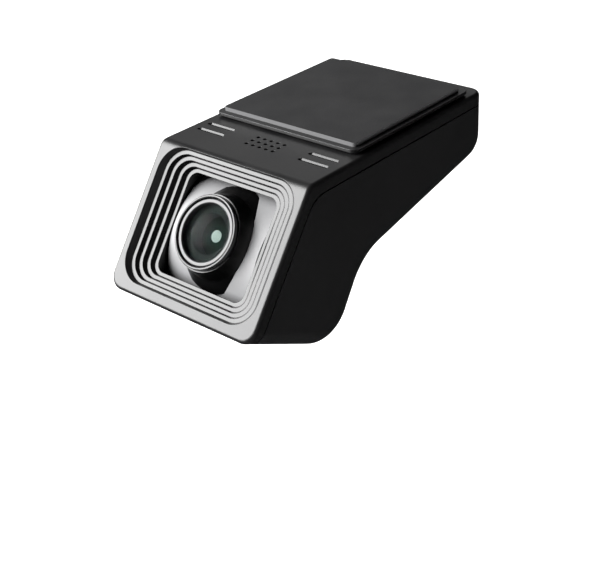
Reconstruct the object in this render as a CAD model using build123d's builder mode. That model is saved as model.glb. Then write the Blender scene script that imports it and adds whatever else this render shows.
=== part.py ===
from build123d import *
import os
from math import cos, radians, sin, tan

os.makedirs("parts", exist_ok=True)

# A windscreen dash camera that hangs from a stuck-on plate.
# Millimetres. The origin is the middle of the adhesive face, +Z points out of that face towards the
# windscreen, and the lens looks towards -Y.

# ---- driving dimensions -------------------------------------------------------------------------

# casing
body_width = 39.0
tail_y = 23.3               # rear end of the casing
tail_height = 13.6
cover_top = -2.0            # top of the cover, below the adhesive face
underside_slope = 11.6      # degrees, the tail gets deeper towards the head
neck_y = -17.5              # where the tail's underside turns down into the head
neck_slope = 57.0
chin_slope = 28.0
face_tilt = 37.0            # degrees, the face looks forwards and up
face_y = -41.45
face_z = -13.4
chin_v = 16.6               # from the middle of the face down to its lower edge
wall = 1.6
front_round = 2.4           # big rounded turn from the face into the top
chin_round = 8.5
neck_round = 12.0
tail_round = 5.5
edge_round = 3.2            # along the lower and rear edges
top_edge_round = 0.8

# parting line between the cover and the housing
seam_drop = wall + 0.9
frame_depth = wall + 0.6
seam_round = 6.0
seam_gap = 0.3
tongue = 0.45
tongue_wall = 0.7
tongue_clearance = 0.1

# between pieces that bear on each other
fit_gap = 0.05
rooting = 0.2               # how far a boss, stem or post runs into what carries it
web = 0.5                   # least material past the end of a blind hole

# stepped surround in the face
side_rim = 1.85
opening_half_height = 14.1
opening_round = 5.2
first_step = 0.97
step_depth = 0.69
tread = 0.65
riser_side = 0.8
riser_top = 0.26
tread_count = 4
flange_side = 0.9
flange_top = 0.35
flange_thick = 1.2
surround_clearance = 0.05
shroud_depth = 8.0
shroud_wall = 1.0
surround_back_wall = 0.9

# lens drum
drum_radius = 17.0
trim_thick = 0.5            # light curved trim plate on the drum's front
trim_clearance = 0.05       # between the trim's hole and the turret's root
drum_wall = 1.6
drum_sink = 0.12            # drum front behind the last tread
drum_gap = 0.33             # each side, in the shroud
drum_half_angle = 43.5
cheek_wall = 1.2
pin_radius = 1.5
pin_clearance = 0.05
pin_length = 4.2
pin_hub_radius = 3.2
turret_base_radius = 10.6
turret_waist_radius = 8.6
turret_top_radius = 7.6
turret_top_depth = 0.55
turret_root = 3.2           # how far the turret reaches behind the last tread
ring_seat_depth = 1.6
bulkhead_depth = 10.2
bulkhead_wall = 1.4
bulkhead_half_height = 8.0
washer_thick = 0.4
washer_gap = 0.05
bracket_gap = 0.3
bracket_thick = 2.0
bracket_half_length = 6.6
bracket_half_height = 3.0
bracket_screw_offset = 4.8
small_screw_radius = 0.7
small_head_radius = 1.3
small_head_height = 0.7

# lens
ring_radius = 7.3
ring_inner_radius = 6.75
ring_proud = 0.4
barrel_radius = 6.6
barrel_flange = 3.4
barrel_tube_radius = 5.0
barrel_end_depth = 13.4
barrel_proud = 0.1
glass_radius = 5.6
glass_seat = 1.3
glass_dome_height = 1.7
glass_edge = 0.5
inner_bore_radius = 4.0
middle_front = 4.0
rear_front = 9.2
spacer_bore = 3.3
lens_clearance = 0.05

# boards
board_thick = 1.0
sensor_board_size = 16.0
sensor_board_depth = 14.4
main_board_top = -9.0
main_board_front = -14.5
board_margin = 0.5

# bracket and pad
pad_width = 34.4
pad_length = 34.6
pad_thick = 0.85
pad_round = 0.8
plate_side = 1.15
plate_front = 1.3
plate_rear = 1.75
plate_thick = 0.85
plate_round = 1.6
plate_chamfer = 0.25
hook_x = 9.0
hook_spread = 22.0
hook_y = -2.0
hook_stem = 2.0
hook_length = 4.0
hook_foot = 1.4
hook_foot_thick = 1.0
hook_clearance = 0.3
slide_travel = 6.0
detent_x = 0.0
detent_y = 2.0
detent_width = 4.0
detent_window = 6.0
detent_bump = 1.0

# sound holes and vents
hole_pitch = 1.72
hole_radius = 0.42
hole_columns = 5
hole_rows = 3
grille_y = -23.5
slot_length = 7.3
slot_width = 0.75
slot_bevel = 0.3            # sloping rear edge of each slot
slot_x = 13.4
slot_y = -23.6
slot_pitch = 3.0
speaker_width = 13.0
speaker_length = 8.6
speaker_height = 2.6
mesh_thick = 0.2

# pieces on the left side
card_width = 11.0
card_length = 15.0
card_thick = 1.0
card_y = 8.6
card_clearance = 0.15
card_inset = 0.4
socket_wall = 0.4
socket_gap = 0.3            # between the socket's mouth and the casing
socket_end = 0.8            # past the card's inner end
card_round = 0.6
card_grip_inset = 1.2
card_grip_width = 0.5
card_grip_depth = 0.15
button_y = -4.0
button_z = -13.2
button_length = 6.0
button_height = 3.2
button_travel = 0.5
button_proud = 0.4
button_clearance = 0.3
button_round = 0.3
button_flange = 0.75        # lip behind the wall, all round
button_flange_thick = 0.7
nub_radius = 0.8
switch_gap = 0.3            # still free at the end of the press
switch_length = 2.0
switch_width = 4.4
switch_height = 1.2
light_y = 1.2
light_z = -11.3
light_radius = 0.9
light_reach = 1.2           # of the light pipe inside the wall
lamp_length = 1.0
lamp_width = 1.6

# fasteners
screw_x = 14.6
rear_screw_y = 18.2
front_screw_y = -10.6
screw_radius = 0.85
screw_clearance = 0.15
screw_head_radius = 1.7
screw_head_height = 1.2
boss_radius = 2.4
small_boss_radius = 1.7
small_screw_length = 3.0
post_radius = 1.6
post_inset = 1.9            # from the sensor board's edge

# board parts
chip_size = 12.0
chip_height = 1.1
chip_y = -2.0
memory_x = 10.6
memory_y = 8.0
filter_thick = 0.3
holder_radius = 6.4
sensor_width = 7.0
sensor_height = 5.6
sensor_thick = 0.7
connector_v = 3.0
connector_inset = 2.0       # from the main board's front edge
connector_width = 9.0
connector_length = 2.6
connector_height = 0.9
memory_width = 8.0
memory_length = 10.0
memory_height = 0.9
can_width = 9.0
can_length = 10.0
can_height = 1.5
soft_pad_thick = 0.5
spreader_thick = 0.7
inductor_size = 5.0
inductor_height = 2.4
capacitor_radius = 3.3
capacitor_length = 14.0
capacitor_places = (-8.6, -1.4)
nub_reach = 0.6
antenna_y = 14.0
antenna_length = 11.0
antenna_width = 6.0
antenna_thick = 0.2
leaf_thick = 0.3
detent_nose = 1.2
cable_width = 8.0
cable_thick = 0.3
cable_bend_y = -18.0
cable_drop = 1.3            # below the main board
cable_rise = 3.4
cable_bend_radius = 1.5
screw_grip = 3.6

# inlet and microphone
inlet_width = 8.9
inlet_height = 3.2
inlet_length = 7.3
inlet_clearance = 0.25
inlet_inset = 0.3           # behind the casing's rear face
inlet_shell = 0.3
inlet_back = 1.0
tongue_width = 6.6
tongue_thick = 0.7
mic_x = 8.0
mic_y = 8.0
mic_hole_radius = 0.5
mic_length = 3.6
mic_width = 2.8
mic_height = 1.0
boot_radius = 2.0

# ---- derived places -----------------------------------------------------------------------------

half_width = body_width / 2
side_inner = half_width - wall
tilt = radians(face_tilt)
face_plane = Plane(origin=(0, face_y, face_z), x_dir=(1, 0, 0), z_dir=(0, -cos(tilt), sin(tilt)))
seam_z = cover_top - seam_drop
opening_half_width = half_width - side_rim
drum_depth = first_step + (tread_count - 1) * step_depth + drum_sink + drum_radius


def at_depth(depth):
    """The plane parallel to the face, this far behind it."""
    return face_plane.offset(-depth)


def face_point(v, depth):
    """Y and Z of the point v up the face's middle line and depth behind it."""
    return (
        face_y + v * sin(tilt) + depth * cos(tilt),
        face_z + v * cos(tilt) - depth * sin(tilt),
    )


def face_depth(point):
    """How far a point lies behind the face."""
    return (point.Y - face_y) * cos(tilt) - (point.Z - face_z) * sin(tilt)


def meet(first, first_angle, second, second_angle):
    """Where two lines meet, each given by a point and its angle in degrees."""
    dx = second[0] - first[0]
    dy = second[1] - first[1]
    a, b = radians(first_angle), radians(second_angle)
    run = (dx * sin(b) - dy * cos(b)) / sin(b - a)
    return (first[0] + run * cos(a), first[1] + run * sin(a))


front_top = meet((face_y, face_z), 90 - face_tilt, (0, cover_top), 0)
face_bottom = face_point(-chin_v, 0)
tail_bottom = (tail_y, cover_top - tail_height)
neck = (neck_y, tail_bottom[1] - (tail_y - neck_y) * tan(radians(underside_slope)))
chin = meet(face_bottom, -chin_slope, neck, 180 + neck_slope)


def underside_z(y):
    """Height of the tail's underside at y."""
    return tail_bottom[1] - (tail_y - y) * tan(radians(underside_slope))


def body_solid(inset):
    """The casing's outer shape, or its hollow when inset is the wall."""
    with BuildPart() as shape:
        with BuildSketch(Plane.YZ) as side:
            with BuildLine():
                Polyline(
                    (tail_y, cover_top), front_top, face_bottom, chin, neck, tail_bottom, close=True
                )
            make_face()
            for point, radius in (
                (front_top, front_round),
                (chin, chin_round),
                (neck, neck_round),
                (tail_bottom, tail_round),
            ):
                fillet(side.vertices().sort_by_distance((point[0], point[1], 0))[0], radius=radius)
            if inset:
                offset(amount=-inset, kind=Kind.INTERSECTION)
        extrude(amount=half_width - inset, both=True)
        low_edges = shape.edges().filter_by(
            lambda e: abs(e.center().X) > half_width - inset - 0.01
            and face_depth(e.center()) > inset + 0.5
            and e.center().Z < cover_top - inset - 0.5
        )
        fillet(low_edges, radius=edge_round - inset)
        if not inset:
            rim_edges = shape.edges().filter_by(
                lambda e: abs(e.center().X) > 0.01 or e.center().Y > 0
            ).filter_by(
                lambda e: e.center().Z > cover_top - 0.01
                or abs(face_depth(e.center())) < 0.01
                or abs(e.center().X) > half_width - 0.01
            )
            fillet(rim_edges, radius=top_edge_round)
    return shape.part



def seam_region(shift):
    """Everything above the cover's lower edge and in front of the frame's rear edge."""
    level = seam_z - shift
    corner = meet(face_point(0, frame_depth + shift), 90 - face_tilt, (0, level), 0)
    low = face_point(-2 * body_width, frame_depth + shift)
    with BuildPart() as region:
        with BuildSketch(Plane.YZ) as side:
            with BuildLine():
                Polyline(
                    (2 * body_width, level),
                    corner,
                    low,
                    (-3 * body_width, low[1]),
                    (-3 * body_width, body_width),
                    (2 * body_width, body_width),
                    close=True,
                )
            make_face()
            fillet(side.vertices().sort_by_distance((corner[0], corner[1], 0))[0], radius=seam_round)
        extrude(amount=body_width, both=True)
    return region.part


def step_size(index):
    """Half width, half height, depth and corner radius at the outer edge of tread number index."""
    inset = riser_side * first_step / step_depth + index * (tread + riser_side)
    drop = riser_top * first_step / step_depth + index * (tread + riser_top)
    depth = first_step + index * step_depth
    corner = opening_round - (inset + drop) / 3
    return (opening_half_width - inset, opening_half_height - drop, depth, corner)


def inner_size(index):
    """The same at the inner edge of the tread."""
    half_w, half_h, depth, corner = step_size(index)
    return (half_w - tread, half_h - tread, depth, corner - tread / 2)


def rounded(half_w, half_h, corner):
    """A rounded rectangle in the sketch that calls it."""
    RectangleRounded(2 * half_w, 2 * half_h, corner)


last_half_width, last_half_height, last_depth, last_corner = inner_size(tread_count - 1)
flange_half_width = step_size(0)[0] + flange_side
flange_half_height = step_size(0)[1] + flange_top
drum_half_width = last_half_width - drum_gap
shell_radius = drum_radius - trim_thick

outer_body = body_solid(0)
hollow = body_solid(wall)
cover_region = seam_region(0)


def skin_band(outside, region):
    """The skin between a body solid and the hollow, kept out of the region."""
    with BuildPart() as band:
        add(outside)
        add(hollow, mode=Mode.SUBTRACT)
        add(region, mode=Mode.SUBTRACT)
    return band.part


rebate = skin_band(
    body_solid(wall - tongue_wall - tongue_clearance), seam_region(-tongue - tongue_clearance)
)
tongue_band = skin_band(body_solid(wall - tongue_wall), seam_region(-tongue))

screw_places = [
    (side * screw_x, y) for side in (-1, 1) for y in (front_screw_y, rear_screw_y)
]
slot_places = [
    (side * slot_x, slot_y + row * slot_pitch / 2) for side in (-1, 1) for row in (-1, 1)
]
hook_places = [
    (x, hook_y + side * hook_spread / 2) for x in (-hook_x, hook_x) for side in (-1, 1)
]
plate_width = pad_width + 2 * plate_side
plate_length = pad_length + plate_front + plate_rear
plate_y = (plate_rear - plate_front) / 2
plate_bottom = -pad_thick - plate_thick
cover_under = cover_top - wall
foot_top = cover_under - hook_clearance
board_under = main_board_top - board_thick
board_half_width = side_inner - board_margin
board_rear = tail_y - wall - board_margin


def head_seat(y):
    """Where a long screw's head bears, up inside the housing's boss."""
    return underside_z(y) + screw_head_height + 1.0


drum_centre = face_point(0, drum_depth)
drum_plane = Plane(
    origin=(0, *drum_centre), x_dir=(0, -cos(tilt), sin(tilt)), z_dir=(1, 0, 0)
)
neck_direction = (0, cos(radians(neck_slope)), sin(radians(neck_slope)))
bracket_inner = drum_half_width + washer_gap + washer_thick + bracket_gap
bracket_outer = bracket_inner + bracket_thick

# across the face's middle: x is the radius from the optical axis, y is the height in front of the face
axial_plane = Plane(
    origin=(0, face_y, face_z), x_dir=(1, 0, 0), z_dir=(0, -sin(tilt), -cos(tilt))
)


def pivot_plane(x):
    """A plane across the drum's axis at x, turned to lie along the neck."""
    return Plane(origin=(x, *drum_centre), x_dir=neck_direction, z_dir=(1, 0, 0))


def polar(radius, angle):
    """A point in the drum's plane."""
    return (radius * cos(radians(angle)), radius * sin(radians(angle)))


def curved_band(outer, inner):
    """The outline of a curved plate about the drum's axis, in the sketch that calls it."""
    for radius in (outer, inner):
        CenterArc((0, 0), radius, -drum_half_angle, 2 * drum_half_angle)
    for angle in (-drum_half_angle, drum_half_angle):
        Line(polar(outer, angle), polar(inner, angle))


post_offset = sensor_board_size / 2 - post_inset
sensor_screw_places = [(post_offset, -post_offset), (-post_offset, post_offset)]
card_z = board_under - socket_wall - card_clearance - card_thick / 2
nub_end = -side_inner + button_clearance + button_flange_thick + nub_reach
switch_x = nub_end + button_travel + switch_gap + switch_length / 2
light_inner = -side_inner + light_reach
inlet_z = main_board_top + inlet_height / 2 + fit_gap


# ---- bracket ------------------------------------------------------------------------------------

with BuildPart() as adhesive_pad:
    with BuildSketch(Plane.XY):
        RectangleRounded(pad_width, pad_length, pad_round)
    extrude(amount=-pad_thick)
adhesive_pad.part.label = "adhesive_pad"
export_step(adhesive_pad.part, "parts/adhesive_pad.step")


with BuildPart() as mount_bracket:
    with BuildSketch(Plane.XY.offset(-pad_thick)):
        with Locations((0, plate_y)):
            RectangleRounded(plate_width, plate_length, plate_round)
    extrude(amount=-plate_thick)
    chamfer(mount_bracket.faces().sort_by(Axis.Z)[0].outer_wire().edges(), length=plate_chamfer)
    # hooks: a stem through the cover and a foot that turns backwards under it
    for x, y in hook_places:
        with BuildSketch(Plane.XY.offset(plate_bottom + rooting)):
            with Locations((x, y)):
                Rectangle(hook_stem, hook_length)
        extrude(amount=foot_top - hook_foot_thick - plate_bottom - rooting)
        with BuildSketch(Plane.XY.offset(foot_top)):
            with Locations((x, y)):
                Rectangle(hook_stem + 2 * hook_foot, hook_length)
        extrude(amount=-hook_foot_thick)
    # dimple for the detent
    with Locations((detent_x, detent_y, plate_bottom)):
        Sphere(radius=detent_bump, mode=Mode.SUBTRACT)
mount_bracket.part.label = "mount_bracket"
export_step(mount_bracket.part, "parts/mount_bracket.step")


# ---- casing -------------------------------------------------------------------------------------


with BuildPart() as front_top_cover:
    add(outer_body)
    add(hollow, mode=Mode.SUBTRACT)
    add(cover_region, mode=Mode.INTERSECT)
    add(rebate, mode=Mode.SUBTRACT)
    # opening in the face, narrowing to the first tread
    first_w, first_h, first_d, first_corner = step_size(0)
    slope_w = (opening_half_width - first_w) / first_d
    slope_h = (opening_half_height - first_h) / first_d
    with BuildSketch(at_depth(-first_d)):
        rounded(
            opening_half_width + slope_w * first_d,
            opening_half_height + slope_h * first_d,
            opening_round + slope_w * first_d,
        )
    with BuildSketch(at_depth(first_d)):
        rounded(first_w, first_h, first_corner)
    loft(mode=Mode.SUBTRACT)
    # seat of the surround's flange, from inside
    with BuildSketch(at_depth(first_d)):
        rounded(
            flange_half_width + surround_clearance,
            flange_half_height + surround_clearance,
            first_corner + flange_side,
        )
    extrude(amount=-3 * flange_thick, mode=Mode.SUBTRACT)
    # sound holes over the speaker
    with BuildSketch(Plane.XY.offset(cover_top + 1)):
        with GridLocations(hole_pitch, hole_pitch, hole_columns, hole_rows):
            with Locations((0, grille_y)):
                Circle(hole_radius)
    extrude(amount=-wall - 2, mode=Mode.SUBTRACT)
    # vents each side of them, each with a sloping rear edge
    with BuildSketch(Plane.XY.offset(cover_top + 1)):
        with Locations(slot_places):
            SlotOverall(slot_length, slot_width)
    extrude(amount=-wall - 2, mode=Mode.SUBTRACT)
    for x, y in slot_places:
        rear_edge = y + slot_width / 2
        with BuildSketch(Plane.YZ.offset(x)):
            with BuildLine():
                Polyline(
                    (y, cover_top + slot_bevel),
                    (rear_edge + 2 * slot_bevel, cover_top + slot_bevel),
                    (rear_edge, cover_top - slot_bevel),
                    (y, cover_top - slot_bevel),
                    close=True,
                )
            make_face()
        extrude(amount=(slot_length - slot_width) / 2, both=True, mode=Mode.SUBTRACT)
    # keyholes for the bracket's hooks: a narrow run, then a window that lets the foot through
    with BuildSketch(Plane.XY.offset(cover_top + 1)):
        for x, y in hook_places:
            with Locations((x, y + slide_travel / 2)):
                Rectangle(hook_stem + 2 * hook_clearance, hook_length + slide_travel + 2 * hook_clearance)
            with Locations((x, y + slide_travel)):
                Rectangle(
                    hook_stem + 2 * hook_foot + 2 * hook_clearance, hook_length + 2 * hook_clearance
                )
    extrude(amount=-wall - 2, mode=Mode.SUBTRACT)
    # window for the detent leaf
    with BuildSketch(Plane.XY.offset(cover_top + 1)):
        with Locations((detent_x, detent_y)):
            Rectangle(detent_width, detent_window)
    extrude(amount=-wall - 2, mode=Mode.SUBTRACT)
    # screw bosses
    for x, y in screw_places:
        with BuildSketch(Plane.XY.offset(cover_under + rooting)):
            with Locations((x, y)):
                Circle(boss_radius)
        extrude(amount=main_board_top + fit_gap - cover_under - rooting)
        with BuildSketch(Plane.XY.offset(main_board_top)):
            with Locations((x, y)):
                Circle(screw_radius)
        extrude(amount=cover_under - main_board_top - web, mode=Mode.SUBTRACT)
front_top_cover.part.label = "front_top_cover"
export_step(front_top_cover.part, "parts/front_top_cover.step")

with BuildPart() as main_housing:
    add(outer_body)
    add(hollow, mode=Mode.SUBTRACT)
    add(seam_region(seam_gap), mode=Mode.SUBTRACT)
    add(tongue_band)
    # bosses under the board, drilled for the long screws
    for x, y in screw_places:
        with BuildSketch(Plane.XY.offset(board_under - fit_gap)):
            with Locations((x, y)):
                Circle(boss_radius)
        extrude(amount=underside_z(y) + 0.6 * wall - board_under)
        with BuildSketch(Plane.XY.offset(board_under)):
            with Locations((x, y)):
                Circle(screw_radius + screw_clearance)
        extrude(amount=underside_z(y) - wall - board_under, mode=Mode.SUBTRACT)
        with BuildSketch(Plane.XY.offset(head_seat(y))):
            with Locations((x, y)):
                Circle(screw_head_radius + screw_clearance)
        extrude(amount=underside_z(y) - 2 * wall - head_seat(y), mode=Mode.SUBTRACT)
    # bosses for the pivot brackets
    for side in (-1, 1):
        for offset_along in (-bracket_screw_offset, bracket_screw_offset):
            with BuildSketch(pivot_plane(side * bracket_outer)):
                with Locations((offset_along, 0)):
                    Circle(small_boss_radius)
            extrude(amount=side * (side_inner + 0.3 * wall - bracket_outer))
            with BuildSketch(pivot_plane(side * bracket_outer)):
                with Locations((offset_along, 0)):
                    Circle(small_screw_radius)
            extrude(amount=side * small_screw_length, mode=Mode.SUBTRACT)
    # power inlet in the rear wall
    with BuildSketch(Plane.XZ.offset(-tail_y - 1)):
        with Locations((0, inlet_z)):
            SlotOverall(inlet_width + 2 * inlet_clearance, inlet_height + 2 * inlet_clearance)
    extrude(amount=wall + 2, mode=Mode.SUBTRACT)
    # card slot, button hole and light hole in the left wall
    with BuildSketch(Plane.YZ.offset(-half_width - 1)):
        with Locations((card_y, card_z)):
            Rectangle(card_width + 4 * card_clearance, card_thick + 4 * card_clearance)
        with Locations((button_y, button_z)):
            SlotOverall(button_length + 2 * button_clearance, button_height + 2 * button_clearance)
        with Locations((light_y, light_z)):
            Circle(light_radius + fit_gap)
    extrude(amount=wall + 2, mode=Mode.SUBTRACT)
    # sound inlet of the microphone
    with BuildSketch(Plane.XY.offset(board_under)):
        with Locations((mic_x, mic_y)):
            Circle(mic_hole_radius)
    extrude(amount=-body_width, mode=Mode.SUBTRACT)
main_housing.part.label = "main_housing"
export_step(main_housing.part, "parts/main_housing.step")

# ---- stepped surround ---------------------------------------------------------------------------

surround_back = last_depth + surround_back_wall

with BuildPart() as stepped_surround:
    with BuildSketch(at_depth(first_step + surround_clearance)):
        rounded(flange_half_width, flange_half_height, step_size(0)[3] + flange_side)
    extrude(amount=-flange_thick)
    # the funnel behind the flange
    with BuildSketch(at_depth(first_step + surround_clearance)):
        rounded(step_size(1)[0] + 0.6, step_size(1)[1] + 0.4, step_size(1)[3])
    extrude(amount=first_step + surround_clearance - surround_back)
    # shroud along both sides of the drum, and short lips above and below it
    with BuildSketch(at_depth(surround_back)):
        for side in (-1, 1):
            with Locations((side * (last_half_width + shroud_wall / 2), 0)):
                Rectangle(shroud_wall, 2 * last_half_height)
    extrude(amount=surround_back - shroud_depth)
    # treads and sloped risers
    for index in range(tread_count - 1):
        with BuildSketch(at_depth(inner_size(index)[2] - 0.001)):
            rounded(inner_size(index)[0], inner_size(index)[1], inner_size(index)[3])
        with BuildSketch(at_depth(step_size(index + 1)[2])):
            rounded(step_size(index + 1)[0], step_size(index + 1)[1], step_size(index + 1)[3])
        loft(mode=Mode.SUBTRACT)
    with BuildSketch(at_depth(first_step)):
        rounded(last_half_width, last_half_height, last_corner)
    extrude(amount=-shroud_depth, mode=Mode.SUBTRACT)
    with BuildSketch(at_depth(0)):
        rounded(*inner_size(0)[:2], inner_size(0)[3])
    extrude(amount=-first_step - surround_clearance, mode=Mode.SUBTRACT)
stepped_surround.part.label = "stepped_surround"
export_step(stepped_surround.part, "parts/stepped_surround.step")

# ---- lens drum ----------------------------------------------------------------------------------


def turret(clearance):
    """The lens turret: nearly straight inside the surround, and flared behind it."""
    with BuildPart() as cone:
        for front_radius, front, back_radius, back in (
            (turret_top_radius, turret_top_depth - clearance, turret_waist_radius, surround_back),
            (turret_waist_radius, surround_back, turret_base_radius, last_depth + turret_root),
        ):
            with BuildSketch(at_depth(front)):
                Circle(front_radius + clearance)
            with BuildSketch(at_depth(back)):
                Circle(back_radius + clearance)
            loft()
    return cone.part


turret_body = turret(0)
turret_space = turret(trim_clearance)

with BuildPart() as lens_drum:
    # curved front
    with BuildSketch(drum_plane):
        with BuildLine():
            curved_band(shell_radius, drum_radius - drum_wall)
        make_face()
    extrude(amount=drum_half_width, both=True)
    # side cheeks, from the curved front back to the pivot hubs
    for side in (-1, 1):
        with BuildSketch(drum_plane.offset(side * drum_half_width)):
            with BuildLine():
                CenterArc((0, 0), drum_radius - drum_wall / 2, -drum_half_angle, 2 * drum_half_angle)
                Line((0, 0), polar(drum_radius - drum_wall / 2, -drum_half_angle))
                Line((0, 0), polar(drum_radius - drum_wall / 2, drum_half_angle))
            make_face()
            Circle(pin_hub_radius)
        extrude(amount=-side * cheek_wall)
        with BuildSketch(drum_plane.offset(side * (drum_half_width - cheek_wall / 2))):
            Circle(pin_radius)
        extrude(amount=side * (pin_length + cheek_wall / 2))
    # turret round the lens
    add(turret_body)
    # bulkhead that carries the sensor board
    with BuildSketch(at_depth(bulkhead_depth)):
        Rectangle(2 * drum_half_width - cheek_wall, 2 * bulkhead_half_height)
    extrude(amount=-bulkhead_wall)
    for x, y in sensor_screw_places:
        with BuildSketch(at_depth(bulkhead_depth + bulkhead_wall / 2)):
            with Locations((x, y)):
                Circle(post_radius)
        extrude(amount=bulkhead_depth + bulkhead_wall / 2 + fit_gap - sensor_board_depth)
        with BuildSketch(at_depth(sensor_board_depth)):
            with Locations((x, y)):
                Circle(small_screw_radius)
        extrude(amount=sensor_board_depth - bulkhead_depth - web, mode=Mode.SUBTRACT)
    # bores for the ring, the barrel's flange and its tube
    for radius, near, far in (
        (ring_radius + lens_clearance, 0, ring_seat_depth),
        (barrel_radius + lens_clearance, 0, barrel_flange + fit_gap),
        (barrel_tube_radius + lens_clearance, 0, bulkhead_depth + 2 * bulkhead_wall),
    ):
        with BuildSketch(at_depth(near)):
            Circle(radius)
        extrude(amount=near - far, mode=Mode.SUBTRACT)
lens_drum.part.label = "lens_drum"
export_step(lens_drum.part, "parts/lens_drum.step")

with BuildPart() as drum_trim:
    with BuildSketch(drum_plane):
        with BuildLine():
            curved_band(drum_radius, shell_radius + fit_gap)
        make_face()
    extrude(amount=drum_half_width, both=True)
    add(turret_space, mode=Mode.SUBTRACT)
drum_trim.part.label = "drum_trim"
export_step(drum_trim.part, "parts/drum_trim.step")


def ring_part(outer_radius, inner_radius, front, back):
    """A plain ring about the optical axis between two depths."""
    with BuildPart() as ring:
        with BuildSketch(at_depth(front)):
            Circle(outer_radius)
            Circle(inner_radius, mode=Mode.SUBTRACT)
        extrude(amount=front - back)
    return ring.part


def dome_height(radius, dome):
    """Height of a spherical dome halfway from its middle to its rim."""
    ball = (radius * radius + dome * dome) / (2 * dome)
    rise = (ball * ball - radius * radius / 4) ** 0.5
    return rise - ball + dome if dome > 0 else dome - ball - rise


def glass_part(radius, front, edge, front_dome, back_dome):
    """A round lens: an edge band, a domed front, and a back that is domed or, if negative, hollow."""
    with BuildPart() as glass:
        with BuildSketch(axial_plane):
            with BuildLine():
                ThreePointArc(
                    (0, front_dome - front),
                    (radius / 2, dome_height(radius, front_dome) - front),
                    (radius, -front),
                )
                Line((radius, -front), (radius, -front - edge))
                ThreePointArc(
                    (radius, -front - edge),
                    (radius / 2, -front - edge - dome_height(radius, back_dome)),
                    (0, -front - edge - back_dome),
                )
                Line((0, -front - edge - back_dome), (0, front_dome - front))
            make_face()
        revolve(axis=Axis((0, face_y, face_z), face_plane.z_dir))
    return glass.part


with BuildPart() as lens_trim_ring:
    add(ring_part(ring_radius, ring_inner_radius, -ring_proud, ring_seat_depth - fit_gap))
    chamfer(
        lens_trim_ring.edges().filter_by(GeomType.CIRCLE).sort_by(lambda e: face_depth(e.center()))[:2],
        length=0.15,
    )
lens_trim_ring.part.label = "lens_trim_ring"
export_step(lens_trim_ring.part, "parts/lens_trim_ring.step")

# ---- lens ---------------------------------------------------------------------------------------

with BuildPart() as lens_barrel:
    add(ring_part(barrel_radius, glass_radius + lens_clearance, -barrel_proud, glass_seat))
    add(ring_part(barrel_radius, inner_bore_radius, glass_seat, barrel_flange))
    add(ring_part(barrel_tube_radius, inner_bore_radius, barrel_flange, barrel_end_depth))
    chamfer(
        lens_barrel.edges().filter_by(GeomType.CIRCLE).sort_by(lambda e: face_depth(e.center()))[:2],
        length=0.2,
    )
lens_barrel.part.label = "lens_barrel"
export_step(lens_barrel.part, "parts/lens_barrel.step")

glasses = (
    ("front_lens", glass_radius, glass_seat - glass_edge - fit_gap, glass_edge, glass_dome_height, -0.6),
    ("middle_lens", inner_bore_radius - lens_clearance, middle_front, 2 * glass_edge, 0.8, 0.5),
    ("rear_lens", inner_bore_radius - lens_clearance, rear_front, 2 * glass_edge, 0.5, 0.8),
)
for name, radius, front, edge, front_dome, back_dome in glasses:
    glass = glass_part(radius, front, edge, front_dome, back_dome)
    glass.label = name
    export_step(glass, f"parts/{name}.step")

lens_spacer = ring_part(
    inner_bore_radius - lens_clearance, spacer_bore, middle_front + glass_edge * 2 + 0.3, rear_front - 0.3
)
lens_spacer.label = "lens_spacer"
export_step(lens_spacer, "parts/lens_spacer.step")

with BuildPart() as ir_filter:
    with BuildSketch(at_depth(barrel_end_depth - 1.0)):
        Circle(inner_bore_radius - lens_clearance)
    extrude(amount=-filter_thick)
ir_filter.part.label = "ir_filter"
export_step(ir_filter.part, "parts/ir_filter.step")

with BuildPart() as lens_holder:
    with BuildSketch(at_depth(bulkhead_depth + bulkhead_wall + fit_gap)):
        Circle(holder_radius)
        Circle(barrel_tube_radius + lens_clearance, mode=Mode.SUBTRACT)
    extrude(amount=bulkhead_depth + bulkhead_wall + 2 * fit_gap - sensor_board_depth)
lens_holder.part.label = "lens_holder"
export_step(lens_holder.part, "parts/lens_holder.step")

with BuildPart() as image_sensor:
    with BuildSketch(at_depth(sensor_board_depth - fit_gap)):
        Rectangle(sensor_width, sensor_height)
    extrude(amount=sensor_thick)
image_sensor.part.label = "image_sensor"
export_step(image_sensor.part, "parts/image_sensor.step")

with BuildPart() as sensor_board:
    with BuildSketch(at_depth(sensor_board_depth)):
        RectangleRounded(sensor_board_size, sensor_board_size, 1.0)
        with Locations(*sensor_screw_places):
            Circle(small_screw_radius + screw_clearance, mode=Mode.SUBTRACT)
    extrude(amount=-board_thick)
sensor_board.part.label = "sensor_board"
export_step(sensor_board.part, "parts/sensor_board.step")

with BuildPart() as sensor_connector:
    with BuildSketch(at_depth(sensor_board_depth + board_thick + fit_gap)):
        with Locations((0, connector_v)):
            Rectangle(connector_width, connector_length)
    extrude(amount=-connector_height)
sensor_connector.part.label = "sensor_connector"
export_step(sensor_connector.part, "parts/sensor_connector.step")


def screw_part(plane, radius, length, head_radius, head_height):
    """A screw whose head bears at the plane and whose shank runs along the plane's normal."""
    with BuildPart() as screw:
        with BuildSketch(plane):
            Circle(head_radius)
        extrude(amount=-head_height)
        with BuildSketch(plane):
            Circle(radius)
        extrude(amount=length)
        with BuildSketch(plane.offset(-head_height)):
            Rectangle(head_radius * 1.3, head_radius * 0.3)
            Rectangle(head_radius * 0.3, head_radius * 1.3)
        extrude(amount=head_height * 0.6, mode=Mode.SUBTRACT)
    return screw.part


def export_group(name, pieces):
    """Identical pieces share one node as separate solids."""
    group = Compound(label=name, children=pieces)
    export_step(group, f"parts/{name}.step")


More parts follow.
